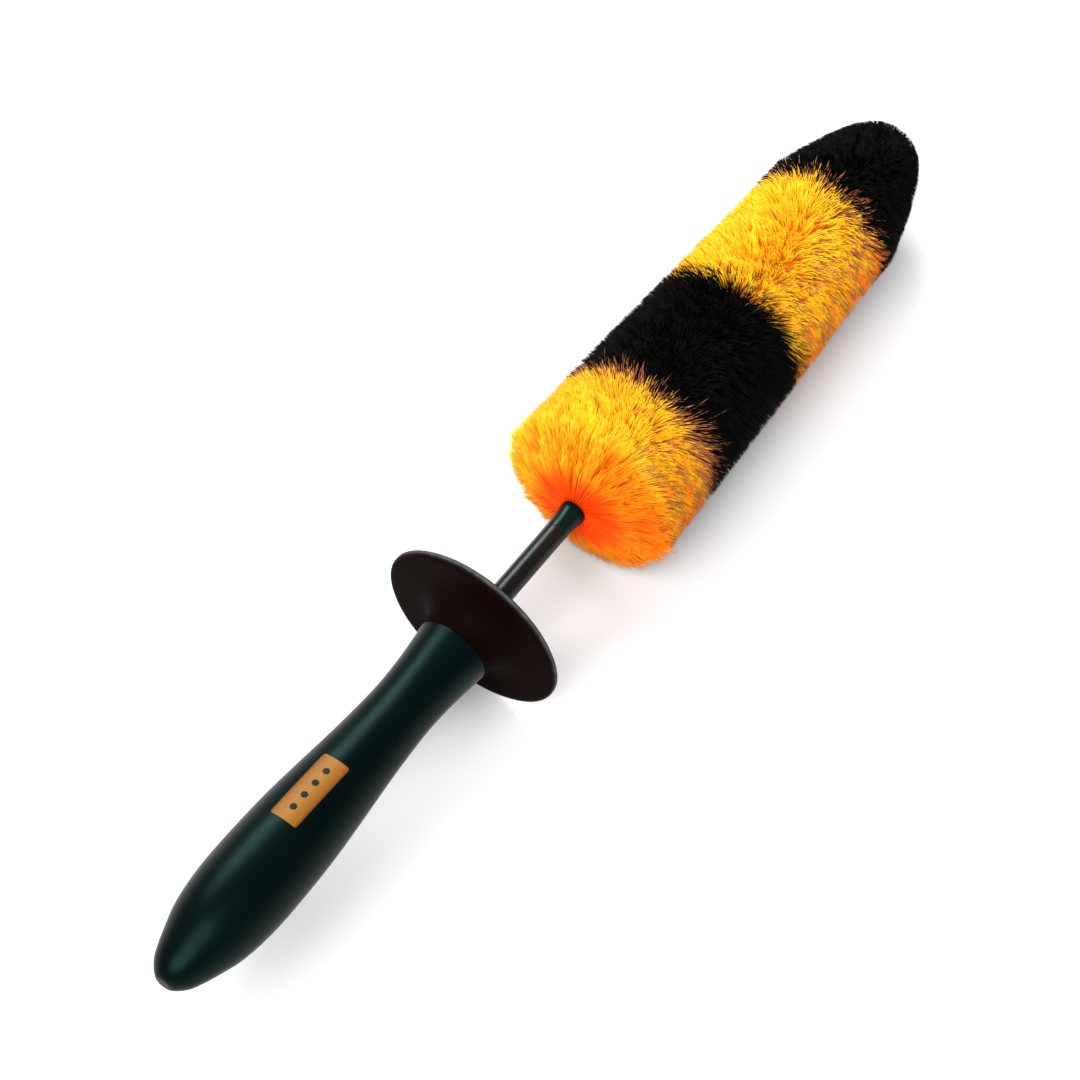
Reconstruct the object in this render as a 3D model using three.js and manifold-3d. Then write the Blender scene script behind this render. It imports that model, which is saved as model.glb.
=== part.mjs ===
// A bee brush: a round two-colour brush head on a twisted wire core, a stem with a hand guard,
// and a hollow moulded grip. Millimetres, +Z up.
//
// Every piece is turned about one axis. The pieces are drawn along their own +Y, with Y the
// distance from the butt of the grip, and one group lays that axis along +X, the way the brush
// lies on a table on the rim of its guard and the thick end of its head.

import * as THREE from 'three';
import { mergeVertices } from 'three/addons/utils/BufferGeometryUtils.js';
import Module from 'manifold-3d';

const wasm = await Module();
wasm.setup();

// Driving dimensions
const TOTAL_LENGTH = 428;
const REST_RADIUS = 34.5; // guard rim and thick end of the head, the two places that touch the table
const GAP = 0.3; // clearance between pieces that touch

const GRIP_LENGTH = 151;
const GRIP_WALL = 2.8;
const BUTT_FLAT_RADIUS = 3.2;
const BUTT_FLOOR = 7; // thickness of plastic at the butt

const GUARD_REAR = 161.1;
const GUARD_THICKNESS = 3;
const HUB_FILLET = 9;

const SOCKET_REAR = 112;
const SOCKET_RADIUS = 8.2;
const SOCKET_FLOOR = 4;
const SOCKET_FLANGE_RADIUS = 11;
const SOCKET_FLANGE_THICKNESS = 2.4;

const STEM_RADIUS = 4.05;
const STEM_BORE = 2.9;
const FERRULE_START = 210;
const FERRULE_END = 220.2;
const FERRULE_RADIUS = 4.9;

const STRAND_RADIUS = 1.1;
const STRAND_OFFSET = 1.35; // from the brush axis to the middle of a strand
const TWIST_PITCH = 24;
const WIRE_START = 99;
const WIRE_END = 418;
const WIRE_CLEARANCE = 2.8; // radius of a bore that the twisted pair passes through
const CRIMP_LENGTH = 9;
const CRIMP_RADIUS = 4;
const TIP_CAP_START = 410;
const TIP_CAP_RADIUS = 3.4;

const HEAD_START = 220.5;
const HEAD_FACE_RADIUS = 14.5; // flat middle of the near face
const HEAD_FULL_START = 229;
const HEAD_TAPER_START = 234;
const HEAD_SHOULDER = 384;
const SHOULDER_RADIUS = 28.4;
const BAND_EDGES = [HEAD_START, 259, 317, 375, TOTAL_LENGTH];
const FACE_FULLNESS = 0.72; // exponent of the slanted near face
const OGIVE_LEAN = 0.85; // exponents of the rounded tip
const OGIVE_BLUNTNESS = 3;

const LABEL_START = 61.5;
const LABEL_LENGTH = 28;
const LABEL_WIDTH = 10.6;
const LABEL_LIFT = 0.08;
const LABEL_THICKNESS = 0.35;

const GRIP_SIDES = 36;
const REST_SIDES = 24; // a flat facet faces down, so the brush doesn't roll
const STEM_SIDES = 16;

const material = (color, roughness, metalness = 0) =>
  new THREE.MeshStandardMaterial({ color, roughness, metalness });
const GRIP_PLASTIC = [0x06201f, 0.3];
const GUARD_PLASTIC = [0x1c1311, 0.5];
const STEM_PLASTIC = [0x17191b, 0.3];
const SOCKET_PLASTIC = [0x2a2a2c, 0.6];
const CORE_STEEL = [0xa7a9ab, 0.4, 1];
const BRISTLE_YELLOW = [0xffa813, 0.8];
const BRISTLE_BLACK = [0x0b0b0b, 0.85];
const LABEL_FILM = [0xe8944a, 0.45];

const at = (radius, along) => new THREE.Vector2(radius, along);

// A piece turned about the axis. The outline runs tailwards to tipwards on the outside and back
// on the inside. The radii are to the flats of the polygon, so facing flats are parallel.
function turned(outline, sides) {
  const toCorner = 1 / Math.cos(Math.PI / sides);
  const points = outline.map((p) => at(p.x * toCorner, p.y));
  return new THREE.LatheGeometry(points, sides, Math.PI / sides);
}

function piece(name, geometry, look) {
  const mesh = new THREE.Mesh(geometry, material(...look));
  mesh.name = name;
  return mesh;
}

function toManifold(geometry) {
  const bare = geometry.clone();
  bare.deleteAttribute('normal');
  bare.deleteAttribute('uv');
  const merged = mergeVertices(bare, 1e-4);
  return new wasm.Manifold(new wasm.Mesh({
    numProp: 3,
    vertProperties: merged.attributes.position.array,
    triVerts: new Uint32Array(merged.index.array),
  }));
}

function fromManifold(solid) {
  const mesh = solid.getMesh();
  const geometry = new THREE.BufferGeometry();
  geometry.setAttribute('position', new THREE.BufferAttribute(mesh.vertProperties, 3));
  geometry.setIndex(new THREE.BufferAttribute(mesh.triVerts, 1));
  return geometry;
}

// The grip's outer shape: a blunt butt, a full palm swell, and a waist before the guard.
const GRIP_CURVE = new THREE.SplineCurve([
  at(BUTT_FLAT_RADIUS, 0), at(5.2, 1), at(8.4, 6), at(11, 12.6), at(14.2, 23), at(15.8, 36),
  at(16, 51), at(15.4, 69), at(14.1, 85), at(12.4, 104), at(11.4, 123), at(12, 138),
  at(13.4, GRIP_LENGTH),
]);

function gripRadius(along) {
  const samples = GRIP_CURVE.getSpacedPoints(400);
  const next = samples.findIndex((p) => p.y >= along);
  const before = samples[Math.max(next - 1, 0)];
  const share = (along - before.y) / Math.max(samples[next].y - before.y, 1e-9);
  return THREE.MathUtils.lerp(before.x, samples[next].x, share);
}

function gripOutline() {
  const outside = GRIP_CURVE.getSpacedPoints(26);
  const inside = [GRIP_LENGTH, 138, 123, 104, 85, 69, 51, 36, 23, 13]
    .map((along) => at(gripRadius(along) - GRIP_WALL, along));
  return [at(0, 0), ...outside, ...inside, at(4.5, BUTT_FLOOR + 1.5), at(0, BUTT_FLOOR)];
}

// Guard: a flat disc with a rounded rim, and a hub that flares into it from the grip's end.
function guardOutline() {
  const front = GUARD_REAR + GUARD_THICKNESS;
  const half = GUARD_THICKNESS / 2;
  const hubRear = GRIP_LENGTH + GAP;
  const bore = SOCKET_RADIUS + GAP;
  const hubRadius = gripRadius(GRIP_LENGTH);
  const fillet = [0, 0.25, 0.5, 0.75, 1].map((share) => {
    const turn = share * Math.PI / 2;
    return at(hubRadius + HUB_FILLET * (1 - Math.cos(turn)),
      GUARD_REAR - HUB_FILLET * (1 - Math.sin(turn)));
  });
  const rimFlat = 0.45;
  return [
    at(bore, hubRear), at(hubRadius, hubRear), ...fillet,
    at(REST_RADIUS - 1.1, GUARD_REAR + 0.25), at(REST_RADIUS, GUARD_REAR + half - rimFlat),
    at(REST_RADIUS, GUARD_REAR + half + rimFlat), at(REST_RADIUS - 1.1, front - 0.25),
    at(REST_RADIUS - 5, front), at(SOCKET_FLANGE_RADIUS + 1, front), at(bore, front),
    at(bore, hubRear),
  ];
}

// Socket: a plug in the grip's neck that holds the stem, and clamps the guard with its flange.
function socketOutline() {
  const flangeRear = GUARD_REAR + GUARD_THICKNESS + GAP;
  const front = flangeRear + SOCKET_FLANGE_THICKNESS;
  const bore = STEM_RADIUS + GAP;
  const floor = SOCKET_REAR + SOCKET_FLOOR;
  const chamfer = 0.8;
  return [
    at(WIRE_CLEARANCE, SOCKET_REAR), at(SOCKET_RADIUS - 1.4, SOCKET_REAR),
    at(SOCKET_RADIUS - 0.3, SOCKET_REAR + 8), at(SOCKET_RADIUS, GRIP_LENGTH),
    at(SOCKET_RADIUS, flangeRear), at(SOCKET_FLANGE_RADIUS, flangeRear),
    at(SOCKET_FLANGE_RADIUS, front - chamfer), at(SOCKET_FLANGE_RADIUS - chamfer, front),
    at(bore, front), at(bore, floor), at(WIRE_CLEARANCE, floor), at(WIRE_CLEARANCE, SOCKET_REAR),
  ];
}

function ring(inner, outer, start, end) {
  return [at(inner, start), at(outer, start), at(outer, end), at(inner, end), at(inner, start)];
}

// Ferrule: it carries the stem on to the root of the head, and flares like a small trumpet.
function ferruleOutline() {
  const middle = (FERRULE_START + FERRULE_END) / 2;
  return [
    at(WIRE_CLEARANCE, FERRULE_START), at(STEM_RADIUS, FERRULE_START),
    at(STEM_RADIUS + 0.15, middle), at(FERRULE_RADIUS - 0.25, FERRULE_END - 2),
    at(FERRULE_RADIUS, FERRULE_END - 0.8), at(FERRULE_RADIUS - 0.3, FERRULE_END),
    at(WIRE_CLEARANCE, FERRULE_END), at(WIRE_CLEARANCE, FERRULE_START),
  ];
}

function tipCapOutline() {
  const end = WIRE_END + GAP + 2;
  const round = 1;
  return [
    at(WIRE_CLEARANCE, TIP_CAP_START), at(TIP_CAP_RADIUS, TIP_CAP_START),
    at(TIP_CAP_RADIUS, end - round), at(TIP_CAP_RADIUS - round, end), at(0, end),
    at(0, WIRE_END + GAP), at(WIRE_CLEARANCE, WIRE_END + GAP), at(WIRE_CLEARANCE, TIP_CAP_START),
  ];
}

// One strand of the twisted pair that holds the bristles.
class StrandCurve extends THREE.Curve {
  constructor(phase) {
    super();
    this.phase = phase;
  }

  getPoint(t) {
    const along = THREE.MathUtils.lerp(WIRE_START, WIRE_END, t);
    const turn = this.phase + (2 * Math.PI * (along - WIRE_START)) / TWIST_PITCH;
    return new THREE.Vector3(STRAND_OFFSET * Math.cos(turn), along, STRAND_OFFSET * Math.sin(turn));
  }
}

function strand(phase) {
  const halfSides = 3; // a full circle in a shape takes two straight sides for each segment
  const stepsPerTurn = 9;
  const section = new THREE.Shape();
  section.absarc(0, 0, STRAND_RADIUS, 0, 2 * Math.PI);
  return new THREE.ExtrudeGeometry(section, {
    curveSegments: halfSides,
    steps: Math.round(((WIRE_END - WIRE_START) / TWIST_PITCH) * stepsPerTurn),
    extrudePath: new StrandCurve(phase),
  });
}

// Radius of the trimmed head: slanted near face, long even taper, blunt rounded tip.
function headRadius(along) {
  if (along < HEAD_FULL_START) {
    const share = (along - HEAD_START) / (HEAD_FULL_START - HEAD_START);
    return HEAD_FACE_RADIUS + (REST_RADIUS - HEAD_FACE_RADIUS) * share ** FACE_FULLNESS;
  }
  if (along < HEAD_TAPER_START) return REST_RADIUS;
  if (along < HEAD_SHOULDER) {
    return THREE.MathUtils.mapLinear(
      along, HEAD_TAPER_START, HEAD_SHOULDER, REST_RADIUS, SHOULDER_RADIUS);
  }
  const share = Math.min((along - HEAD_SHOULDER) / (TOTAL_LENGTH - HEAD_SHOULDER), 1);
  return SHOULDER_RADIUS * (1 - share ** OGIVE_LEAN) ** (1 / OGIVE_BLUNTNESS);
}

// Where the head's outline bends: on the near face, and closer and closer towards the tip.
const NEAR_FACE_STATIONS = [222, 225, HEAD_FULL_START, HEAD_TAPER_START];
const TIP_STATIONS = [0, 0.07, 0.2, 0.38, 0.58, 0.77, 0.9, 0.97, 0.994]
  .map((share) => THREE.MathUtils.lerp(HEAD_SHOULDER, TOTAL_LENGTH, share));

// A band of bristles, with a bore for the wire that stops short in the tip band.
function bandOutline(start, end) {
  const isTip = end === TOTAL_LENGTH;
  const isRear = start === HEAD_START;
  const bore = isTip ? TIP_CAP_RADIUS + GAP : WIRE_CLEARANCE;
  const first = isRear ? start : start + GAP / 2;
  const last = isTip ? end : end - GAP / 2;
  const bends = [...NEAR_FACE_STATIONS, ...TIP_STATIONS]
    .filter((along) => along > first && along < last);
  const outside = [first, ...bends, last].map((along) => at(headRadius(along), along));
  const boreEnd = isTip ? WIRE_END + 5 : last;
  const closing = isTip ? [at(0, boreEnd), at(bore, boreEnd)] : [at(bore, boreEnd)];
  return [at(bore, first), ...outside, ...closing, at(bore, first)];
}

// A film label on the upper side of the grip, cut from a thin skin of the grip's own shape.
function label() {
  const stations = [0, 0.25, 0.5, 0.75, 1].map((share) => LABEL_START + share * LABEL_LENGTH);
  const skin = (lift) => stations.map((along) => at(gripRadius(along) + lift, along));
  const outline = [...skin(LABEL_LIFT + LABEL_THICKNESS), ...skin(LABEL_LIFT).reverse()];
  const sleeve = turned([...outline, outline[0]], GRIP_SIDES);
  const cutter = new THREE.BoxGeometry(LABEL_WIDTH, LABEL_LENGTH * 2, REST_RADIUS);
  cutter.translate(0, LABEL_START + LABEL_LENGTH / 2, REST_RADIUS / 2);
  return fromManifold(toManifold(sleeve).intersect(toManifold(cutter)));
}

const BAND_NAMES = [
  'bristles_yellow_rear', 'bristles_black_middle', 'bristles_yellow_front', 'bristles_black_tip',
];

const brush = new THREE.Group();
brush.rotation.z = -Math.PI / 2;
brush.position.set(-TOTAL_LENGTH / 2, 0, REST_RADIUS);

brush.add(
  piece('handle_grip', turned(gripOutline(), GRIP_SIDES), GRIP_PLASTIC),
  piece('guard_disc', turned(guardOutline(), REST_SIDES), GUARD_PLASTIC),
  piece('stem_socket', turned(socketOutline(), STEM_SIDES), SOCKET_PLASTIC),
  piece('stem_sleeve', turned(
    ring(STEM_BORE, STEM_RADIUS, SOCKET_REAR + SOCKET_FLOOR + GAP, FERRULE_START - GAP),
    STEM_SIDES), STEM_PLASTIC),
  piece('stem_ferrule', turned(ferruleOutline(), STEM_SIDES), STEM_PLASTIC),
  piece('core_wire_a', strand(0), CORE_STEEL),
  piece('core_wire_b', strand(Math.PI), CORE_STEEL),
  piece('wire_end_crimp', turned(
    ring(WIRE_CLEARANCE, CRIMP_RADIUS, WIRE_START + 2, WIRE_START + 2 + CRIMP_LENGTH),
    STEM_SIDES), CORE_STEEL),
  piece('wire_tip_cap', turned(tipCapOutline(), STEM_SIDES), SOCKET_PLASTIC),
  piece('label_plate', label(), LABEL_FILM),
);

BAND_NAMES.forEach((name, index) => {
  const outline = bandOutline(BAND_EDGES[index], BAND_EDGES[index + 1]);
  brush.add(piece(name, turned(outline, REST_SIDES), index % 2 ? BRISTLE_BLACK : BRISTLE_YELLOW));
});

const model = new THREE.Group();
model.add(brush);

export default model;
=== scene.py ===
"""The looks of a bee brush: a striped round brush head on a wire core, a dark stem, a disc
guard and a moulded grip. Everything is in metres, in the frame of the CAD model.

The brush lies along +X. A place on it is given as (along, radius, angle): the distance from the
butt of the grip, the distance from the brush's axis, and the turn about it. The angle is 0
straight up and grows towards the right flank, as seen from the butt.
"""

import math

import bpy
import numpy as np
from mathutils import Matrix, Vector


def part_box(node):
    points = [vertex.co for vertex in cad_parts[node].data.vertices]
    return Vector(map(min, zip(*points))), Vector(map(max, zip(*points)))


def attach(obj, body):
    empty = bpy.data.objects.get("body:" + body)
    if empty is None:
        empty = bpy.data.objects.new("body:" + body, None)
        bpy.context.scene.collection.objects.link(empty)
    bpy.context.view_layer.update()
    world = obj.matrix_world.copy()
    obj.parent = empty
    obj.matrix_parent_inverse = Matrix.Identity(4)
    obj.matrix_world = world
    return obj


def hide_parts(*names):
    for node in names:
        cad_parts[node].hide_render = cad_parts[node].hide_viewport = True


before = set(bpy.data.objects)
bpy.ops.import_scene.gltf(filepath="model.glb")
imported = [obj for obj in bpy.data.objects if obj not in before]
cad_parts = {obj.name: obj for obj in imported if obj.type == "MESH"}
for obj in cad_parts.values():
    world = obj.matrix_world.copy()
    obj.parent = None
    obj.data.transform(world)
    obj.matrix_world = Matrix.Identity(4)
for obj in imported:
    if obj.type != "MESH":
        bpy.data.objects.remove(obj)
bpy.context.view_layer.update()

MM = 0.001
BODY = "root"
BUTT_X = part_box("handle_grip")[0].x
AXIS_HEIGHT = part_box("guard_disc")[1].z / 2

# Camera
AIM = Vector((-0.0108, 0.0017, 0.0363))
CAMERA_AZIMUTH = 54.16  # degrees from +Y towards +X, the way the camera looks
CAMERA_ELEVATION = 56.09
CAMERA_DISTANCE = 1.0903
LENS = 106.67
SENSOR = 36.0

# Floor and light
FLOOR_SIZE = 14
WORLD_STRENGTH = 0.5
KEY_TOWARDS = (0.38, 0.56, 0.74)
KEY_DISTANCE = 1.6
KEY_SIZE = (1.1, 0.65)
KEY_POWER = 33
FILL_TOWARDS = (-0.6, -0.15, 0.8)
FILL_SPREAD = math.radians(50)
FILL_STRENGTH = 5

# Turned pieces
SAME_PLACE = 0.01 * MM  # what lies closer together than this counts as one place
SAME_ANGLE = 0.3  # the same for angles, in degrees
ROUND_SEGMENTS = 144
CREASE = math.radians(50)  # an outline has an edge where it turns by more than this
FILLET = 0.12 * MM
FILLET_SHARE = 0.4  # of an outline's last step before an edge, at most
CURVE_STEP = 1.5 * MM
COLLAR_SINK = 0.3 * MM  # how far the stem's collar is drawn into the head

# Mouldings
COLOUR_PATCH = 18 * MM  # the size of the patches of one colour
GLOSS_PATCH = 4 * MM  # the size of the patches of one gloss
GRAIN_STRENGTH = 0.35
# Painted highlight: a paler band round the guard's rim
RIM_HIGHLIGHT_PATCH = 3 * MM
RIM_HIGHLIGHT_RAGGED = 0.8 * MM  # how ragged the inner edge of the painted highlight round the guard's rim is
RIM_HIGHLIGHT_START, RIM_HIGHLIGHT_FULL = -0.7 * MM, 0.6 * MM  # where that painted highlight begins and is full, from the rim

# Label
LABEL_CORNER = 0.9 * MM
LABEL_LIFTS = (-0.05 * MM, 0.25 * MM)  # its underside and its upper side, from the grip's surface
LABEL_EDGE = 5.2 * MM  # from the label's middle to where its colour is deepest
MARK_COUNT = 4
MARK_PITCH = 5.6 * MM
MARK_RADIUS = 1.35 * MM
MARK_LIFTS = (0.1 * MM, 0.28 * MM)

# Head
WIRE_RADIUS = 2.6 * MM
BORE_LIMIT = 8 * MM  # what lies nearer the axis than this bounds a band's bore, not its outside
MEAN_RADIUS = 31 * MM
PILE_DEPTH = 9 * MM  # below this depth the bristles are too dense to see into
CORE_SEGMENTS = 48
CORE_RINGS = 9
REAR_CORE = ((3 * MM, WIRE_RADIUS), (5 * MM, 12 * MM), (9 * MM, 22 * MM))  # behind the near face
REAR_CORE_DEPTH = 16 * MM  # from here on the rear band's core is like the others
PILE_LAYERS = 3  # meshes that the bristles of one band are dealt out over
PILE_COUNT = 6700  # bristles in each of them
REAR_COUNT = 6000  # the same for the rear band, which the fan fills up
FAN_LAYERS = 2
FAN_COUNT = 3500
FAN_RUN = 18 * MM  # how far the fan covers the head, along its outline from the stem
OVERLAP = 1.8 * MM  # how far the bristles of two bands mix where they meet
PLACE_CLEAR = (4 * MM, 0.1 * MM)  # from the near face and the head's tip to the side bristles
LEAN_CLEAR = (5 * MM, 0.2 * MM)  # the same to where they lean
WIRE_CLEAR = 2 * MM  # from the near face to where the wire begins to hold them
TIP_REACH = 14 * MM  # how far the last of them reach beyond where the wire holds them
TIP_CROWD = 0.35  # how far apart it holds them near the head's tip, as a share of how they stand
FAN_HELD = (0.4 * MM, 5.5 * MM)  # where the wire begins to hold the fan, and for how far
FAN_TIPS = (9 * MM, 17 * MM)  # the same for the fan's tips, along the head's outline
FAN_TIPS_SCATTER = 1.4 * MM
FAN_TIPS_LIMITS = (6 * MM, 30 * MM)
FAN_STANDS_OUT = 1 * MM  # how far the fan may stand out of the near face

# How bristles lean: each value is how far their tips stand aside from where they would point
LOCK_SPACING = 3 * MM
LOCK_SCATTER = 0.42  # how far the middles of locks stray from an even grid, in spacings
LOCK_LEAN = 1.6 * MM  # whole locks, each its own way
FAN_LOCK_SPACING = 1.5 * LOCK_SPACING
GATHER = 0.35  # the share of the way to its lock's middle that a tip leans
STRAY = 0.9 * MM  # single bristles, each its own way
SWIRL_SIZE, SWIRL_LEAN = 26 * MM, 2.6 * MM  # broad swirls
RIPPLE_SIZE, RIPPLE_LEAN = 10 * MM, 1.4 * MM  # finer ones within them
BORDER_LEAN = 2.6 * MM  # the last bristles of a band, over the next band
BORDER_DEPTH = 2.5 * MM  # how deep into the band that reaches
SPLAY = 8 * MM  # the bristles behind the near face, away from it
SPLAY_START, SPLAY_DEPTH = 8 * MM, 14 * MM  # where that begins to fade, and how deep it reaches
DROOP = 7 * MM  # the bristles on the flanks, downwards

# How unevenly bristles are trimmed: how far tips lie off the head's outline
TRIM_SCATTER = 0.8 * MM  # single bristles
TRIM_LOCKS = 0.25 * MM  # whole locks
TRIM_MOST = 5 * MM
TRIM_BLACK = 0.4  # the black bands are trimmed more evenly, by this share
FAN_LOCKS = 1.6 * MM  # whole locks of the fan
FAN_HOLLOW = 0.6  # the fan between its locks, as a share of the way to their middles
FAN_SCATTER = 0.9 * MM  # single bristles of the fan

# One bristle is a curve that starts deep in the head, bends, and ends at its tip
SIDE_ROOT, SIDE_BEND = 0.45, 0.86  # where it starts and bends, from the axis, in head radii
SIDE_ROOT_ON = 0.2  # how far its start is on the way from its hold to its place on the head
SIDE_BEND_ON, SIDE_BEND_TURN = 0.2, 0.15  # how far its bend leans, as shares of its tip's lean
SIDE_SHORTEST = 0.5 * MM  # from the axis to its tip, at least
FAN_BEND, FAN_BEND_TURN = 0.6, 0.1  # the same for the fan, where it bends being in tip radii
FAN_BEND_SCATTER = 0.8 * MM

# Its thickness, where its rings lie as shares of the curve, and its taper at each of them
BRISTLE_HALF_WIDTH = 0.14 * MM
SIDE_RINGS = np.array([0.25, 0.5, 0.7, 0.87, 1.0])
SIDE_TAPER = np.array([1.0, 1.0, 1.0, 0.75, 0.0])
FAN_HALF_WIDTH = 0.85 * BRISTLE_HALF_WIDTH
FAN_RINGS = np.array([0.0, 0.2, 0.4, 0.6, 0.8, 0.93, 1.0])
FAN_TAPER = np.array([1.0, 1.0, 1.0, 1.0, 1.0, 0.8, 0.0])

# Bristle colours: a height picks a colour, from that of a root at 0 to that of a tip at 1, and a
# tone makes it a little deeper or paler. The deeper, redder colours towards the root are painted
# shade deep in the pile.
BAKE_MAP = "OFBake"  # every bristle lies in this map: across it by tone, up it by height
TONE_LEVELS = 64
TONE_MARGIN = 0.1  # the part of a level's width that is left free at either side
TONE_PATCH = 12 * MM  # the size of the patches of one tone
TONE_DRIFT = 0.12  # how much tones differ between them
SIDE_TONE_LOCKS, FAN_TONE_LOCKS = 0.2, 0.15  # the same between locks
TONE_SCATTER = 0.1  # the same between single bristles
SIDE_HEIGHTS = np.array([0.82, 0.87, 0.91, 0.95, 0.99])  # at each ring
FAN_HEIGHTS = np.array([0.2, 0.23, 0.29, 0.39, 0.54, 0.74, 0.9])
FAN_LOWEST = 0.2
REAR_HEIGHTS = 0.92  # the rear band is a little deeper in colour, by this share
CREST_TURN, CREST_PAINTED_LIGHT = 0.4, 0.28  # the angle where the painted light on the crest is strongest, and how much paler it paints them
FLANK_TURN, FLANK_PAINTED_SHADE = 0.35, 0.45  # the angle where painted shade on the right flank begins, and how much deeper it paints them
FLANK_SHADE_LOCKS = 0.55  # how much of that painted shade a middling lock takes on
FAN_PAINTED_SHADE = 0.3  # how much the fan is painted deeper, as shade, on the right flank
BROWN_HEIGHT = 0.06
BROWN_TONES = 0.15  # brown bristles differ less in tone, by this share
BORDER_BROWN = 1.2  # the share of brown bristles at a border, all of them from 1 up
FLANK_SHADE_STREAKS = 0.6  # the same in the streaks of painted shade on the right flank of a yellow band
STREAK_LIMIT = 0.1  # locks whose second number is above this are streaks
CORE_TONE, CORE_TONE_DRIFT = 0.3, 0.1  # the core's tone at the top, and its rise once round
CORE_LOWEST = 0.02  # the core's height at the axis, where its painted shade is deepest
CORE_FULL_HEIGHT = 45 * MM  # how far from the axis it would have risen by 1

# Seeds of the random draws
DRIFT_SEED = 5
SWING_SEED = 6
LOCK_SEED = 7
TONE_SEED = 8
FAN_LOCK_SEED = 9
BAND_SEED = 100
FAN_SEED = 200


# Shapes -----------------------------------------------------------------------------------------


def place(along, radius, angle):
    """Points from distances along the brush, radii and angles."""
    along, radius, angle = np.broadcast_arrays(along, radius, angle)
    return np.stack(
        [BUTT_X + along, -radius * np.sin(angle), AXIS_HEIGHT + radius * np.cos(angle)], -1
    )


def span(node):
    """Where a CAD node starts and ends, as distances from the butt."""
    low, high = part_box(node)
    return low.x - BUTT_X, high.x - BUTT_X


def mix(a, b, share):
    """What lies between a and b, at a share of the way."""
    return (1 - share) * a + share * b


def meridian(node):
    """A turned CAD node's outline in order, as rows of (along, radius to the flats).

    The second value says whether it closes on itself, as around a bore.
    """
    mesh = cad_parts[node].data
    points = np.array([v.co for v in mesh.vertices]) - (BUTT_X, 0, AXIS_HEIGHT)
    radius = np.hypot(points[:, 1], points[:, 2])
    angle = np.degrees(np.arctan2(points[:, 1], points[:, 2]))
    off_axis = radius > SAME_PLACE
    corner = angle[off_axis & (angle > SAME_ANGLE)].min()
    to_flat = math.cos(math.radians(corner))
    on_line = ~off_axis | (np.abs(angle - corner) < SAME_ANGLE)
    keys = [  # to a micrometre, so that equal places have equal keys
        (round(x / MM, 3), round(r * to_flat / MM, 3) if off else 0.0)
        for x, r, off in zip(points[:, 0], radius, off_axis)
    ]
    links = {}
    for edge in mesh.edges:
        a, b = edge.vertices
        if on_line[a] and on_line[b] and keys[a] != keys[b]:
            links.setdefault(keys[a], set()).add(keys[b])
            links.setdefault(keys[b], set()).add(keys[a])
    ends = sorted(k for k in links if k[1] == 0)
    start = ends[0] if ends else min(links)
    outline = [start]
    while True:
        onward = [k for k in sorted(links[outline[-1]], reverse=True) if k not in outline]
        onward = [k for k in onward if not (k[1] == 0 and outline[-1][1] == 0)] or onward
        if not onward:
            break
        outline.append(onward[0])
    return np.array(outline) * MM, not ends


def bend(before, here, after):
    """How far the outline turns at a point, in radians."""
    a, b = here - before, after - here
    return abs(math.atan2(a[0] * b[1] - a[1] * b[0], a @ b))


def smooth_run(points):
    """A curve through the points, in steps of about CURVE_STEP."""
    padded = np.vstack([2 * points[0] - points[1], points, 2 * points[-1] - points[-2]])
    run = []
    for p0, p1, p2, p3 in zip(padded, padded[1:], padded[2:], padded[3:]):
        chord = np.linalg.norm(p2 - p1)
        steps = max(1, round(chord / CURVE_STEP))
        m1 = (p2 - p0) * chord / (np.linalg.norm(p1 - p0) + chord)
        m2 = (p3 - p1) * chord / (np.linalg.norm(p3 - p2) + chord)
        for t in np.arange(steps) / steps:
            run.append(
                (2 * t**3 - 3 * t**2 + 1) * p1
                + (t**3 - 2 * t**2 + t) * m1
                + (3 * t**2 - 2 * t**3) * p2
                + (t**3 - t**2) * m2
            )
    return run + [points[-1]]


def cut_back(run, end, before):
    """Moves a run's last point, end, towards the one before it, to make room for a fillet."""
    step = run[before] - run[end]
    length = np.linalg.norm(step)
    run[end] += step / length * min(FILLET, FILLET_SHARE * length)


def refined(outline, closed):
    """The outline with its gentle bends smoothed into curves and its edges rounded off."""
    count = len(outline)
    inner = range(count) if closed else range(1, count - 1)
    edges = [
        i for i in inner if bend(outline[i - 1], outline[i], outline[(i + 1) % count]) > CREASE
    ]
    if closed:
        outline = np.vstack([np.roll(outline, -edges[0], axis=0), outline[edges[0]]])
        edges = [i - edges[0] for i in edges] + [count]
    else:
        edges = [0, *edges, count - 1]
    runs = [np.array(smooth_run(outline[a : b + 1])) for a, b in zip(edges, edges[1:])]
    for index, run in enumerate(runs):
        if closed or index > 0:
            cut_back(run, 0, 1)
        if closed or index < len(runs) - 1:
            cut_back(run, -1, -2)
    smooth = []
    for index, run in enumerate(runs):
        smooth.extend(run)
        if index == len(runs) - 1 and not closed:
            break
        corner = outline[edges[index + 1]]
        after = runs[(index + 1) % len(runs)][0]
        for t in (0.25, 0.5, 0.75):
            smooth.append((1 - t) ** 2 * run[-1] + 2 * t * (1 - t) * corner + t**2 * after)
    return np.array(smooth)


def new_object(name, vertices, faces):
    """A smooth-shaded object in the scene, made from its points and faces."""
    mesh = bpy.data.meshes.new(name)
    mesh.from_pydata([tuple(v) for v in vertices], [], faces)
    mesh.validate()
    mesh.shade_smooth()
    piece = bpy.data.objects.new(name, mesh)
    bpy.context.collection.objects.link(piece)
    return piece


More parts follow.
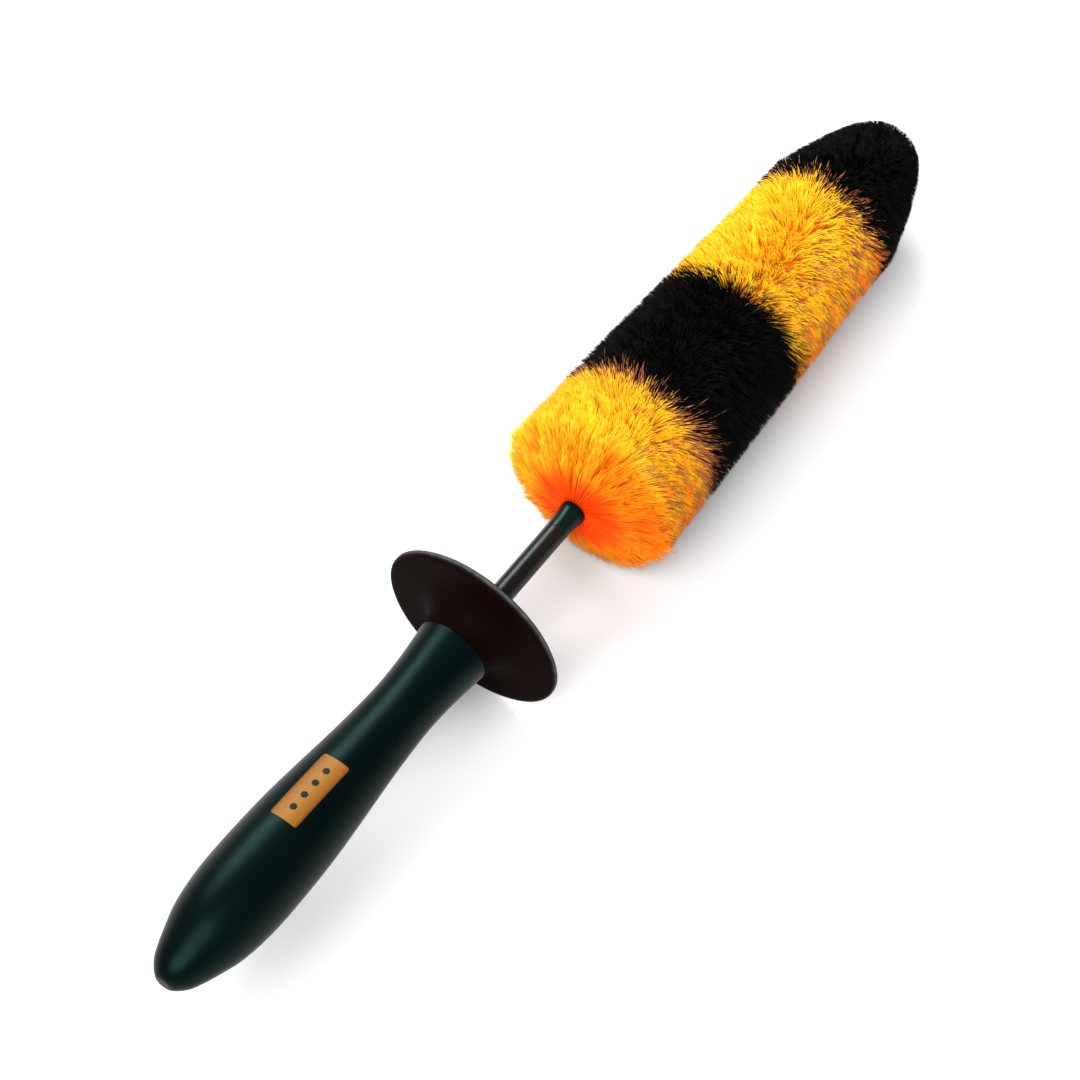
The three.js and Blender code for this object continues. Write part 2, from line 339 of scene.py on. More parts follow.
def revolve(name, outline, closed, segments=ROUND_SEGMENTS):
    """A solid of revolution from an outline that closes on itself, or runs from axis to axis."""
    turn = np.arange(segments) * 2 * math.pi / segments
    vertices, rings = [], []
    for along, radius in outline:
        if radius < SAME_PLACE:
            rings.append([len(vertices)] * segments)
            vertices.append(place(along, 0.0, 0.0))
        else:
            rings.append(list(range(len(vertices), len(vertices) + segments)))
            vertices.extend(place(along, radius, turn))
    pairs = list(zip(rings, rings[1:])) + ([(rings[-1], rings[0])] if closed else [])
    faces = []
    for low, high in pairs:
        for i in range(segments):
            j = (i + 1) % segments
            face = [low[i], low[j], high[j], high[i]]
            face = [v for k, v in enumerate(face) if v != face[k - 1]]
            if len(face) > 2:
                faces.append(face)
    piece = new_object(name, vertices, faces)
    inside_out = sum(
        outline[i - 1][0] * outline[i][1] - outline[i][0] * outline[i - 1][1]
        for i in range(len(outline))
    )
    if inside_out > 0:
        piece.data.flip_normals()
    return piece


def turned_piece(name, node, material, front=None):
    """A smooth, edge-rounded version of a turned CAD node.

    If front is given, its front end is moved there, which closes a gap to the next piece.
    """
    outline, closed = meridian(node)
    if front is not None:
        outline[outline[:, 0] > outline[:, 0].max() - SAME_PLACE, 0] = front
    piece = revolve(name, refined(outline, closed), closed)
    piece.data.materials.append(material)
    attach(piece, BODY)
    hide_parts(node)
    return piece


# Materials --------------------------------------------------------------------------------------


class Look:
    """A Principled material with a short way to add and join nodes."""

    def __init__(self, name, **values):
        self.material = bpy.data.materials.new(name)
        self.material.use_nodes = True
        self.tree = self.material.node_tree
        self.shader = self.tree.nodes["Principled BSDF"]
        for socket, value in values.items():
            self.shader.inputs[socket.replace("_", " ")].default_value = value

    def node(self, kind, **settings):
        """A new shader node, with its input sockets or its own properties set."""
        made = self.tree.nodes.new("ShaderNode" + kind)
        for key, value in settings.items():
            if key in made.inputs:
                made.inputs[key].default_value = value
            else:
                setattr(made, key, value)
        return made

    def join(self, source, target):
        self.tree.links.new(source, target)

    def surface(self):
        """Coordinates in metres, fixed to the piece."""
        return self.node("TexCoord").outputs["Object"]

    def noise(self, size, detail=3.0, stretch=(1, 1, 1)):
        """Noise whose blobs are about size metres across."""
        mapping = self.node("Mapping", Scale=stretch)
        self.join(self.surface(), mapping.inputs["Vector"])
        noise = self.node("TexNoise", Scale=1 / size, Detail=detail)
        self.join(mapping.outputs["Vector"], noise.inputs["Vector"])
        return noise.outputs["Fac"]

    def ramp(self, source, stops):
        """Colours by value: each stop is a position from 0 to 1 and its colour."""
        ramp = self.node("ValToRGB")
        while len(ramp.color_ramp.elements) < len(stops):
            ramp.color_ramp.elements.new(0.5)
        for element, (position, colour) in zip(ramp.color_ramp.elements, stops):
            element.position = position
            element.color = (*colour, 1)
        self.join(source, ramp.inputs["Fac"])
        return ramp.outputs["Color"]

    def scaled(self, source, low, high):
        """A value from 0 to 1 brought to the range from low to high."""
        mapped = self.node("MapRange")
        mapped.inputs["To Min"].default_value = low
        mapped.inputs["To Max"].default_value = high
        self.join(source, mapped.inputs["Value"])
        return mapped.outputs["Result"]

    def math(self, operation, a, b):
        """A Math node's result from two numbers or sockets."""
        made = self.node("Math", operation=operation)
        for socket, value in zip(made.inputs, (a, b)):
            if isinstance(value, (int, float)):
                socket.default_value = value
            else:
                self.join(value, socket)
        return made.outputs["Value"]

    def bumped(self, height, strength, distance):
        bump = self.node("Bump", Strength=strength, Distance=distance)
        self.join(height, bump.inputs["Height"])
        self.join(bump.outputs["Normal"], self.shader.inputs["Normal"])

    def coloured(self, colour):
        self.join(colour, self.shader.inputs["Base Color"])

    def roughened(self, value):
        self.join(value, self.shader.inputs["Roughness"])


def moulded_plastic(name, dark, light, rough, grain, grain_depth, **values):
    """Moulded plastic: a slow drift of colour, uneven gloss and a fine moulded grain.

    rough is its lowest and highest roughness, and grain the size of the moulded grain.
    """
    look = Look(name, **values)
    look.coloured(look.ramp(look.noise(COLOUR_PATCH), [(0.3, dark), (0.75, light)]))
    look.roughened(look.scaled(look.noise(GLOSS_PATCH, 5.0), *rough))
    look.bumped(look.noise(grain, 2.0), GRAIN_STRENGTH, grain_depth)
    return look.material


def guard_plastic():
    """The guard's plastic, painted paler round its rim as a highlight."""
    look = Look("guard_plastic", Specular_IOR_Level=0.01)
    split = look.node("SeparateXYZ")
    look.join(look.surface(), split.inputs["Vector"])
    height = look.math("SUBTRACT", split.outputs["Z"], AXIS_HEIGHT)
    upwards = look.math("POWER", height, 2.0)
    sideways = look.math("POWER", split.outputs["Y"], 2.0)
    from_axis = look.math("SQRT", look.math("ADD", upwards, sideways), 0.0)
    patchy = look.math("MULTIPLY", look.noise(RIM_HIGHLIGHT_PATCH, 4.0), RIM_HIGHLIGHT_RAGGED)
    reach = look.math("ADD", from_axis, patchy)
    rim = AXIS_HEIGHT  # the guard rests on the floor, so its radius is the axis's height
    # Painted highlight: the rim's colour turns paler grey, standing in for the light it catches
    rim_highlight = look.node("MapRange")
    rim_highlight.inputs["From Min"].default_value = rim + RIM_HIGHLIGHT_START
    rim_highlight.inputs["From Max"].default_value = rim + RIM_HIGHLIGHT_FULL
    look.join(reach, rim_highlight.inputs["Value"])
    brown, grey, rim_highlight_grey = (0.0035, 0.0012, 0.0009), (0.012, 0.008, 0.008), (0.06, 0.07, 0.07)
    look.coloured(look.ramp(rim_highlight.outputs["Result"], [(0.0, brown), (0.5, grey), (1.0, rim_highlight_grey)]))
    look.roughened(look.scaled(look.noise(GLOSS_PATCH, 5.0), 0.5, 0.65))
    look.bumped(look.noise(0.4 * MM, 2.0), GRAIN_STRENGTH, 0.03 * MM)
    return look.material


def label_film():
    """Satin printed film: orange, a little deeper towards the long edges."""
    look = Look("label_film", Specular_IOR_Level=0.1)
    split = look.node("SeparateXYZ")
    look.join(look.surface(), split.inputs["Vector"])
    sideways = look.math("ABSOLUTE", split.outputs["Y"], 0.0)
    edge = look.math("DIVIDE", sideways, LABEL_EDGE)
    mottle = look.scaled(look.noise(1.5 * MM), -0.1, 0.1)
    middle, outer, deepest = (0.22, 0.095, 0.014), (0.18, 0.068, 0.007), (0.12, 0.036, 0.004)
    stops = [(0.1, middle), (0.75, outer), (1.0, deepest)]
    look.coloured(look.ramp(look.math("ADD", edge, mottle), stops))
    look.roughened(look.scaled(look.noise(2 * MM), 0.35, 0.5))
    return look.material


def bristle_look(name, root_to_tip, **values):
    """Bristle colour: tone that differs at random, and painted shade deeper towards the root; it
    follows the height and the tone that it has in BAKE_MAP.
    """
    look = Look(name, **values)
    chart = look.node("UVMap", uv_map=BAKE_MAP)
    split = look.node("SeparateXYZ")
    look.join(chart.outputs["UV"], split.inputs["Vector"])
    tone = look.scaled(split.outputs["X"], -0.1, 0.1)
    look.coloured(look.ramp(look.math("ADD", split.outputs["Y"], tone), root_to_tip))
    look.roughened(look.scaled(split.outputs["X"], 0.5, 0.7))
    return look.material


def drawn_steel():
    """Zinc-coated drawn wire: drawing lines along the strand."""
    look = Look("core_steel", Metallic=1.0)
    lines = look.noise(0.6 * MM, 2.0, (0.05, 1, 1))
    look.coloured(look.ramp(lines, [(0.3, (0.45, 0.46, 0.47)), (0.7, (0.66, 0.67, 0.68))]))
    look.roughened(look.scaled(lines, 0.3, 0.5))
    return look.material


GRIP = moulded_plastic(
    "grip_plastic", (0.0001, 0.001, 0.001), (0.0003, 0.0022, 0.0021), (0.31, 0.39),
    0.5 * MM, 0.02 * MM, Specular_IOR_Level=0.078, Specular_Tint=(0.35, 0.95, 0.9, 1),
)
GUARD = guard_plastic()
STEM = moulded_plastic(
    "stem_plastic", (0.003, 0.0015, 0.0008), (0.006, 0.003, 0.0015), (0.24, 0.32),
    0.3 * MM, 0.01 * MM, Specular_IOR_Level=0.22, Specular_Tint=(0.75, 0.95, 1, 1),
)
COLLAR = moulded_plastic(
    "collar_plastic", (0.0005, 0.003, 0.0025), (0.001, 0.006, 0.005), (0.22, 0.3),
    0.3 * MM, 0.01 * MM, Specular_IOR_Level=0.2, Specular_Tint=(0.4, 0.95, 0.85, 1),
)
SOCKET = moulded_plastic(
    "socket_plastic", (0.012, 0.012, 0.013), (0.02, 0.02, 0.022), (0.45, 0.65),
    0.3 * MM, 0.02 * MM, Specular_IOR_Level=0.4,
)
MARKS = moulded_plastic(
    "mark_ink", (0.004, 0.012, 0.014), (0.008, 0.02, 0.02), (0.4, 0.5), 0.3 * MM, 0.01 * MM,
    Specular_IOR_Level=0.05,
)
YELLOW = bristle_look(
    "bristle_yellow",
    [(0.0, (0.03, 0.012, 0.006)), (0.06, (0.45, 0.17, 0.06)), (0.1, (0.9, 0.04, 0.001)),
     (0.32, (1.0, 0.09, 0.002)), (0.55, (1.0, 0.26, 0.005)), (0.78, (1.0, 0.5, 0.012)),
     (1.0, (1.0, 0.66, 0.022))],
    Specular_IOR_Level=0.1,
)
BLACK = bristle_look(
    "bristle_black",
    [(0.0, (0.0005, 0.0005, 0.0005)), (0.85, (0.0012, 0.0011, 0.001)),
     (1.0, (0.005, 0.0045, 0.004))],
    Specular_IOR_Level=0.06,
)
STEEL = drawn_steel()

BANDS = (  # from the stem to the tip
    ("bristles_yellow_rear", YELLOW),
    ("bristles_black_middle", BLACK),
    ("bristles_yellow_front", YELLOW),
    ("bristles_black_tip", BLACK),
)


# The hard pieces --------------------------------------------------------------------------------


turned_piece("grip_shell", "handle_grip", GRIP)
turned_piece("hand_guard", "guard_disc", GUARD)
turned_piece("stem_tube", "stem_sleeve", STEM, front=span("stem_ferrule")[0])
turned_piece("stem_collar", "stem_ferrule", COLLAR, front=span(BANDS[0][0])[0] + COLLAR_SINK)
turned_piece("socket_plug", "stem_socket", SOCKET)
turned_piece("tip_cap", "wire_tip_cap", SOCKET)

for node in ("core_wire_a", "core_wire_b", "wire_end_crimp"):
    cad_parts[node].data.materials.clear()
    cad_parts[node].data.materials.append(STEEL)

GRIP_OUTLINE, _ = meridian("handle_grip")
GRIP_OUTSIDE = GRIP_OUTLINE[: int(np.argmax(GRIP_OUTLINE[:, 0])) + 1]


def grip_radius(along):
    """The radius of the grip's outside, at distances from the butt."""
    return np.interp(along, GRIP_OUTSIDE[:, 0], GRIP_OUTSIDE[:, 1])


def patch(name, stations, half_widths, lifts, material, across=24):
    """A thin plate on the grip's upper side, bent to it, from the first lift to the second.

    half_widths has a value for each of the stations along the brush.
    """
    side = np.linspace(-1, 1, across)
    layers = []
    for lift in lifts:
        radius = grip_radius(stations)[:, None] + lift
        angle = side[None, :] * half_widths[:, None] / radius
        layers.append(place(stations[:, None], radius, angle).reshape(-1, 3))
    rows, total = len(stations), len(stations) * across
    faces = []
    for i in range(rows - 1):
        for j in range(across - 1):
            a = i * across + j
            quad = [a, a + 1, a + across + 1, a + across]
            faces.append(quad)
            faces.append([v + total for v in reversed(quad)])
    # The rim runs once round the plate and joins its underside to its upper side
    rim = list(range(across))
    rim += [i * across + across - 1 for i in range(1, rows)]
    rim += [(rows - 1) * across + j for j in range(across - 2, -1, -1)]
    rim += [i * across for i in range(rows - 2, 0, -1)]
    for a, b in zip(rim, rim[1:] + rim[:1]):
        faces.append([b, a, a + total, b + total])
    piece = new_object(name, np.vstack(layers), faces)
    piece.data.materials.append(material)
    return piece


def make_label():
    """The label's film, with rounded corners, and a row of small hexagons printed on it."""
    start, end = span("label_plate")
    low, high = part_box("label_plate")
    half_width = (high.y - low.y) / 2
    inset = np.array([0, 0.15, 0.4, 0.7, 1]) * LABEL_CORNER
    between = np.linspace(start, end, 15)[1:-1]
    stations = np.concatenate([start + inset, between, end - inset[::-1]])
    to_end = np.minimum(stations - start, end - stations)
    short = np.clip(LABEL_CORNER - to_end, 0, LABEL_CORNER)
    half_widths = half_width - (LABEL_CORNER - np.sqrt(LABEL_CORNER**2 - short**2))
    label = patch("label_film", stations, half_widths, LABEL_LIFTS, label_film())
    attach(label, BODY)
    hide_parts("label_plate")

    # A hexagon's corners along the brush, its points a little blunt
    corners = np.array([-1, -0.5, 0.5, 1]) * MARK_RADIUS
    widths = np.array([0.02, 1, 1, 0.02]) * MARK_RADIUS * math.sqrt(3) / 2
    for index in range(MARK_COUNT):
        centre = (start + end) / 2 + (index - (MARK_COUNT - 1) / 2) * MARK_PITCH
        name = f"label_hexagon_{index + 1}"
        mark = patch(name, centre + corners, widths, MARK_LIFTS, MARKS, across=6)
        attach(mark, BODY)


make_label()


# The bristles -----------------------------------------------------------------------------------


def head_outline():
    """The trimmed outside of the whole head, from its near face to its tip."""
    points = []
    for node, _ in BANDS:
        outline, _ = meridian(node)
        outside = outline[outline[:, 1] > BORE_LIMIT]
        points.extend(outside[np.argsort(outside[:, 0], kind="stable")])
    points.append((span(BANDS[-1][0])[1], 0.0))
    return np.array(smooth_run(np.array(points)))


HEAD = head_outline()
HEAD_RUN = np.concatenate([[0], np.cumsum(np.linalg.norm(np.diff(HEAD, axis=0), axis=1))])
HEAD_START = HEAD[0, 0]
HEAD_END = HEAD[-1, 0]


def head_radius(along):
    """The radius of the head's outside, at distances from the butt."""
    return np.interp(along, HEAD[:, 0], HEAD[:, 1])


def bristle_mesh(name, centres, heights, half_widths, tones, material, rng):
    """Thin three-sided bristles that end in a point, all in one mesh.

    centres is (bristles, rings, 3). half_widths has a value for each ring, tones one for each
    bristle, and heights one for each ring of each bristle.
    """
    count, rings = centres.shape[:2]
    centres[:, :, 2] = np.maximum(centres[:, :, 2], BRISTLE_HALF_WIDTH)
    along = np.gradient(centres, axis=1)
    along /= np.linalg.norm(along, axis=2, keepdims=True)
    roll = rng.normal(size=(count, 1, 3))
    first = roll - (roll * along).sum(2, keepdims=True) * along
    first /= np.linalg.norm(first, axis=2, keepdims=True)
    second = np.cross(along, first)
    corners = []
    for turn in (0, 2 * math.pi / 3, 4 * math.pi / 3):
        out = math.cos(turn) * first + math.sin(turn) * second
        corners.append(centres + out * half_widths[None, :, None])
    body = np.stack(corners, 2)[:, :-1].reshape(count, -1, 3)
    vertices = np.concatenate([body, centres[:, -1:]], 1)
    per_bristle = vertices.shape[1]
    point = per_bristle - 1

    # The triangles of one bristle, and for each of their points its side of the tone's column in
    # the map, and the ring whose height it has
    triangles, sides, levels = [(2, 1, 0)], [(0, 1, 0)], [(0, 0, 1)]
    for ring in range(rings - 1):
        for c in range(3):
            d = (c + 1) % 3
            low = (ring * 3 + c, ring * 3 + d)
            if ring == rings - 2:
                triangles.append((*low, point))
                sides.append((0, 1, 0))
                levels.append((ring, ring, ring + 1))
            else:
                high = (low[0] + 3, low[1] + 3)
                triangles += [(*low, high[1]), (low[0], high[1], high[0])]
                sides += [(0, 1, 1), (0, 1, 0)]
                levels += [(ring, ring, ring + 1), (ring, ring + 1, ring + 1)]
    triangles = np.array(triangles)
    corners = (triangles[None] + (np.arange(count) * per_bristle)[:, None, None]).reshape(-1)
    column = np.clip((tones * TONE_LEVELS).astype(int), 0, TONE_LEVELS - 1)[:, None, None]
    across = (column + TONE_MARGIN + (1 - 2 * TONE_MARGIN) * np.array(sides)[None]) / TONE_LEVELS
    chart = np.stack([across, heights[:, np.array(levels)]], -1).reshape(-1)

    mesh = bpy.data.meshes.new(name)
    mesh.vertices.add(count * per_bristle)
    mesh.vertices.foreach_set("co", vertices.reshape(-1))
    mesh.loops.add(len(corners))
    mesh.loops.foreach_set("vertex_index", corners)
    mesh.polygons.add(len(corners) // 3)
    mesh.polygons.foreach_set("loop_start", np.arange(0, len(corners), 3))
    mesh.uv_layers.new(name=BAKE_MAP).data.foreach_set("uv", chart)
    mesh.update(calc_edges=True)
    mesh.shade_smooth()
    mesh.materials.append(material)
    piece = bpy.data.objects.new(name, mesh)
    bpy.context.collection.objects.link(piece)
    return piece


def locks(along, angle, spacing, seed):
    """The lock of bristles that each place belongs to.

    Returns the way from the place to the lock's middle, along and around, and three numbers
    from -1 to 1 of the lock's own.
    """
    rng = np.random.default_rng(seed)
    turns = round(2 * math.pi * MEAN_RADIUS / spacing)
    rows = int((HEAD_END - HEAD_START) / spacing) + 4
    shift = rng.uniform(-LOCK_SCATTER, LOCK_SCATTER, (rows, turns, 2))
    nature = rng.uniform(-1, 1, (rows, turns, 3))
    u = (along - HEAD_START) / spacing + 1
    v = (angle / (2 * math.pi) % 1) * turns
    best = np.full(len(u), np.inf)
    way = np.zeros((len(u), 2))
    own = np.zeros((len(u), 3))
    for du in (-1, 0, 1):
        for dv in (-1, 0, 1):
            row = np.clip(np.floor(u).astype(int) + du, 0, rows - 1)
            column = np.floor(v).astype(int) + dv
            offset = shift[row, column % turns]
            off_u = row + 0.5 + offset[:, 0] - u
            off_v = column + 0.5 + offset[:, 1] - v
            distance = np.hypot(off_u, off_v)
            nearer = distance < best
            best = np.where(nearer, distance, best)
            way[nearer] = np.stack([off_u, off_v], -1)[nearer] * spacing
            own[nearer] = nature[row, column % turns][nearer]
    return way, own


def waves(along, angle, rng, size, count=14):
    """A smooth random field from -1 to 1 over the head, with features about size across."""
    peak = 1.6  # what the waves' sum, over the root of their count, seldom passes
    field = np.zeros(len(along))
    for _ in range(count):
        around = rng.integers(0, max(2, round(2 * math.pi * MEAN_RADIUS / size)))
        lengthwise = rng.uniform(-1, 1) * 2 * math.pi / size
        field += np.sin(along * lengthwise + around * angle + rng.uniform(0, 2 * math.pi))
    return field / math.sqrt(count) / peak


def flow(along, angle, seed):
    """How far the bristles of a place lean, all together: broad swirls and finer ones."""
    rng = np.random.default_rng(seed)
    broad = waves(along, angle, rng, SWIRL_SIZE) * SWIRL_LEAN
    fine = waves(along, angle, rng, RIPPLE_SIZE) * RIPPLE_LEAN
    return broad + fine


def bezier(root, control, tip, shares):
    """Points at these shares of the curves that run from root to tip and bend at control."""
    t = shares[None, :, None]
    return (1 - t) ** 2 * root[:, None] + 2 * t * (1 - t) * control[:, None] + t**2 * tip[:, None]


def side_places(node, count, rng):
    """Where a band's bristles stand, dealt out evenly over its surface: along and angle."""
    run = np.interp(span(node), HEAD[:, 0], HEAD_RUN)
    run[0] = max(run[0], FAN_RUN)
    spread = rng.uniform(run[0], run[1], 3 * count)
    radius = np.interp(spread, HEAD_RUN, HEAD[:, 1])
    spread = spread[rng.uniform(0, radius.max(), 3 * count) < radius][:count]
    along = np.interp(spread, HEAD_RUN, HEAD[:, 0]) + rng.normal(0, OVERLAP, len(spread))
    along = np.clip(along, HEAD_START + PLACE_CLEAR[0], HEAD_END - PLACE_CLEAR[1])
    return along, rng.uniform(0, 2 * math.pi, len(along))


def side_curves(along, angle, tip_along, tip_angle, trim):
    """The ring centres of bristles that stand at a place on the head and lean to another."""
    on_wire = np.minimum(along, HEAD_END - TIP_CROWD * (HEAD_END - along) - TIP_REACH)
    on_wire = np.maximum(on_wire, HEAD_START + WIRE_CLEAR)
    reach = head_radius(tip_along)
    root = place(mix(on_wire, along, SIDE_ROOT_ON), SIDE_ROOT * head_radius(along), angle)
    control = place(
        mix(along, tip_along, SIDE_BEND_ON),
        SIDE_BEND * np.minimum(reach, head_radius(along)),
        mix(angle, tip_angle, SIDE_BEND_TURN),
    )
    tip = place(tip_along, np.maximum(reach - trim, SIDE_SHORTEST), tip_angle)
    return bezier(root, control, tip, SIDE_RINGS)


def random_tones(along, angle, own, lock_share, rng):
    """Tones that drift over the head, differ between locks and vary between bristles."""
    tones = 0.5 + TONE_DRIFT * waves(along, angle, np.random.default_rng(TONE_SEED), TONE_PATCH)
    tones = tones + lock_share * own[:, 2]
    return np.clip(tones + rng.normal(0, TONE_SCATTER, len(tones)), 0.01, 0.99)


def side_heights(node, angle, own):
    """The colour heights of a band's bristles: painted light on its crest and painted shade on its
    right flank.
    """
    # Painted light: paler on the crest
    pale = np.clip(np.cos(angle - CREST_TURN), 0, 1)
    heights = SIDE_HEIGHTS * (1 - CREST_PAINTED_LIGHT + CREST_PAINTED_LIGHT * pale[:, None])
    # Painted shade: deeper on the right flank
    flank = np.clip(np.sin(angle - FLANK_TURN), 0, 1) * FLANK_SHADE_LOCKS * (1 + own[:, 0])
    heights *= 1 - FLANK_PAINTED_SHADE * flank[:, None]
    if node == BANDS[0][0]:
        heights *= REAR_HEIGHTS
    return heights


def side_bristles(name, node, material, count, seed):
    """The bristles that stand out all round one band."""
    rng = np.random.default_rng(seed)
    along, angle = side_places(node, count, rng)
    count = len(along)
    way, own = locks(along, angle, LOCK_SPACING, LOCK_SEED)

    behind_face = np.exp(-np.maximum(along - HEAD_START - SPLAY_START, 0) / SPLAY_DEPTH)
    at_border = np.exp(-np.maximum(span(node)[1] - along, 0) / BORDER_DEPTH)
    drift = flow(along, angle, DRIFT_SEED) + LOCK_LEAN * own[:, 0] + GATHER * way[:, 0]
    drift += SPLAY * behind_face + BORDER_LEAN * at_border * rng.exponential(1, count)
    swing = flow(along, angle, SWING_SEED) + LOCK_LEAN * own[:, 1] + GATHER * way[:, 1]
    swing += DROOP * np.sin(angle)
    tip_along = along + drift + rng.normal(0, STRAY, count)
    tip_along = np.clip(tip_along, HEAD_START + LEAN_CLEAR[0], HEAD_END - LEAN_CLEAR[1])
    tip_angle = angle + (swing + rng.normal(0, STRAY, count)) / MEAN_RADIUS

    trim = rng.exponential(TRIM_SCATTER, count) + TRIM_LOCKS * (1 + own[:, 2])
    trim = np.minimum(trim * (TRIM_BLACK if material is BLACK else 1), TRIM_MOST)
    centres = side_curves(along, angle, tip_along, tip_angle, trim)

    tones = random_tones(along, angle, own, SIDE_TONE_LOCKS, rng)
    heights = side_heights(node, angle, own)
    brown_share = BORDER_BROWN * at_border
    if material is YELLOW:
        # Painted shade: brown streaks between locks, on the right flank only
        brown_share += FLANK_SHADE_STREAKS * np.clip(np.sin(angle), 0, 1) * (own[:, 1] > STREAK_LIMIT)
    brown = rng.uniform(0, 1, count) < brown_share
    heights = np.where(brown[:, None], BROWN_HEIGHT, heights)
    tones = np.where(brown, 0.5 + BROWN_TONES * (tones - 0.5), tones)
    half_widths = BRISTLE_HALF_WIDTH * SIDE_TAPER
    return bristle_mesh(name, centres, heights, half_widths, tones, material, rng)


def fan_bristles(name, material, count, seed):
    """The rearmost bristles, which fan out from the stem and make the near face."""
    rng = np.random.default_rng(seed)
    angle = rng.uniform(0, 2 * math.pi, count)
    depth = rng.uniform(0, 1, count)
    on_wire = HEAD_START + FAN_HELD[0] + FAN_HELD[1] * depth
    tip_run = FAN_TIPS[0] + FAN_TIPS[1] * depth + rng.normal(0, FAN_TIPS_SCATTER, count)
    tip_run = np.clip(tip_run, *FAN_TIPS_LIMITS)
    tip_along = np.interp(tip_run, HEAD_RUN, HEAD[:, 0])
    way, own = locks(tip_along, angle, FAN_LOCK_SPACING, FAN_LOCK_SEED)
    swing = flow(tip_along, angle, SWING_SEED) + rng.normal(0, STRAY, count) + GATHER * way[:, 1]
    tip_angle = angle + swing / MEAN_RADIUS
    apart = np.hypot(way[:, 0], way[:, 1])
    tip_radius = np.interp(tip_run, HEAD_RUN, HEAD[:, 1])
    tip_radius += FAN_LOCKS * own[:, 0] - FAN_HOLLOW * apart + rng.normal(0, FAN_SCATTER, count)

    root = place(on_wire, WIRE_RADIUS, angle)
    bend_along = on_wire + rng.normal(0, FAN_BEND_SCATTER, count)
    control = place(bend_along, FAN_BEND * tip_radius, mix(angle, tip_angle, FAN_BEND_TURN))
    centres = bezier(root, control, place(tip_along, tip_radius, tip_angle), FAN_RINGS)
    centres[:, :, 0] = np.maximum(centres[:, :, 0], BUTT_X + HEAD_START - FAN_STANDS_OUT)

    tones = random_tones(tip_along, angle, own, FAN_TONE_LOCKS, rng)
    # Painted shade: the fan is deeper in colour on its right flank
    flank = np.clip(np.sin(angle), 0, 1)[:, None]
    heights = np.maximum(FAN_HEIGHTS * (1 - FAN_PAINTED_SHADE * flank), FAN_LOWEST)
    half_widths = FAN_HALF_WIDTH * FAN_TAPER
    return bristle_mesh(name, centres, heights, half_widths, tones, material, rng)


def pile_core(name, node, material):
    """The dense inside of a band, which closes the view between its outer bristles, painted deeper
    towards the axis as shade.
    """
    start, end = span(node)
    if node == BANDS[0][0]:
        outside = [(start + depth, radius) for depth, radius in REAR_CORE]
        start += REAR_CORE_DEPTH
    else:
        outside = [(start, WIRE_RADIUS)]
    if node == BANDS[-1][0]:
        end -= PILE_DEPTH
    for along in np.linspace(start, end, CORE_RINGS):
        outside.append((along, max(head_radius(along) - PILE_DEPTH, WIRE_RADIUS)))
    outside.append((end, WIRE_RADIUS))
    core = revolve(name, np.array(outside), True, CORE_SEGMENTS)
    chart = core.data.uv_layers.new(name=BAKE_MAP)
    for face in core.data.polygons:
        for loop in face.loop_indices:
            corner = core.data.vertices[core.data.loops[loop].vertex_index].co
            around = math.atan2(corner.y, corner.z - AXIS_HEIGHT) / (2 * math.pi) % 1
            # Painted shade: the core is darker and redder towards the axis
            height = math.hypot(corner.y, corner.z - AXIS_HEIGHT) / CORE_FULL_HEIGHT
            chart.data[loop].uv = (CORE_TONE + CORE_TONE_DRIFT * around, CORE_LOWEST + height)
    core.data.materials.append(material)
    return core


def make_bristles():
    """The four bands, each a core with its bristles, and the fan of the rear band."""
    for index, (node, material) in enumerate(BANDS):
        made = [pile_core(node + "_core", node, material)]
        count = REAR_COUNT if index == 0 else PILE_COUNT
        for layer in range(PILE_LAYERS):
            name = f"{node}_pile_{layer + 1}"
            seed = BAND_SEED + 10 * index + layer
            made.append(side_bristles(name, node, material, count, seed))
        if index == 0:
            for layer in range(FAN_LAYERS):
                name = f"{node}_fan_{layer + 1}"
                made.append(fan_bristles(name, material, FAN_COUNT, FAN_SEED + layer))
        for piece in made:
            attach(piece, BODY)
        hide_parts(node)


make_bristles()


# The stage --------------------------------------------------------------------------------------


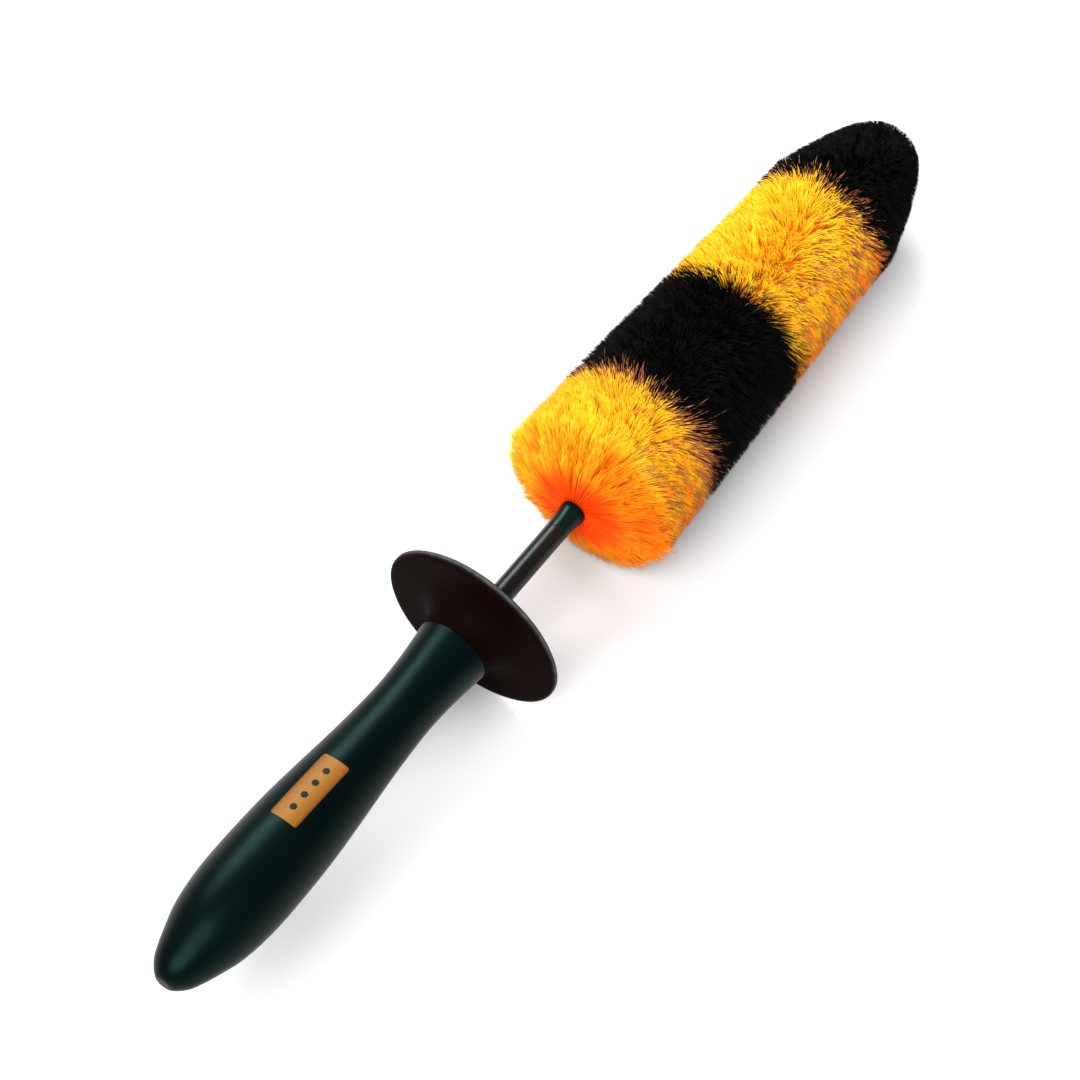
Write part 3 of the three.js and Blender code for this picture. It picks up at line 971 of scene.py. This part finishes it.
def make_floor():
    """A plain pale floor."""
    bpy.ops.mesh.primitive_plane_add(size=FLOOR_SIZE, location=(0, 0, 0))
    floor = bpy.context.object
    floor.name = "floor"
    look = Look("floor_pale", Roughness=0.9, Specular_IOR_Level=0.1)
    look.coloured(look.ramp(look.noise(0.4), [(0.0, (0.6, 0.6, 0.6)), (1.0, (0.64, 0.64, 0.64))]))
    floor.data.materials.append(look.material)


def softbox(name, towards, distance, size, power):
    """A soft oblong light in the direction towards, aimed at the brush."""
    light = bpy.data.lights.new(name, "AREA")
    light.shape = "RECTANGLE"
    light.size, light.size_y = size
    light.energy = power
    lamp = bpy.data.objects.new(name, light)
    bpy.context.collection.objects.link(lamp)
    direction = Vector(towards).normalized()
    lamp.location = AIM + direction * distance
    lamp.rotation_euler = (-direction).to_track_quat("-Z", "Y").to_euler()


def soft_sun(name, towards, spread, strength):
    """An even light from far off in the direction towards, as soft as the angle spread."""
    light = bpy.data.lights.new(name, "SUN")
    light.angle = spread
    light.energy = strength
    lamp = bpy.data.objects.new(name, light)
    bpy.context.collection.objects.link(lamp)
    lamp.rotation_euler = (-Vector(towards)).to_track_quat("-Z", "Y").to_euler()


def make_lights():
    """A white room, a soft key light beyond the tip's left side and a soft fill over the butt."""
    world = bpy.data.worlds.new("studio")
    bpy.context.scene.world = world
    world.use_nodes = True
    background = world.node_tree.nodes["Background"]
    background.inputs["Color"].default_value = (1, 1, 1, 1)
    background.inputs["Strength"].default_value = WORLD_STRENGTH
    softbox("key_light", KEY_TOWARDS, KEY_DISTANCE, KEY_SIZE, KEY_POWER)
    soft_sun("fill_light", FILL_TOWARDS, FILL_SPREAD, FILL_STRENGTH)


def make_camera():
    """The camera, aimed at the middle of the brush."""
    azimuth, elevation = math.radians(CAMERA_AZIMUTH), math.radians(CAMERA_ELEVATION)
    forward = Vector((
        math.cos(elevation) * math.sin(azimuth),
        math.cos(elevation) * math.cos(azimuth),
        -math.sin(elevation),
    ))
    data = bpy.data.cameras.new("camera")
    data.lens = LENS
    data.sensor_width = SENSOR
    camera = bpy.data.objects.new("camera", data)
    bpy.context.collection.objects.link(camera)
    camera.location = AIM - forward * CAMERA_DISTANCE
    camera.rotation_euler = forward.to_track_quat("-Z", "Y").to_euler()
    bpy.context.scene.camera = camera
    bpy.context.scene.view_settings.view_transform = "Standard"


make_floor()
make_lights()
make_camera()
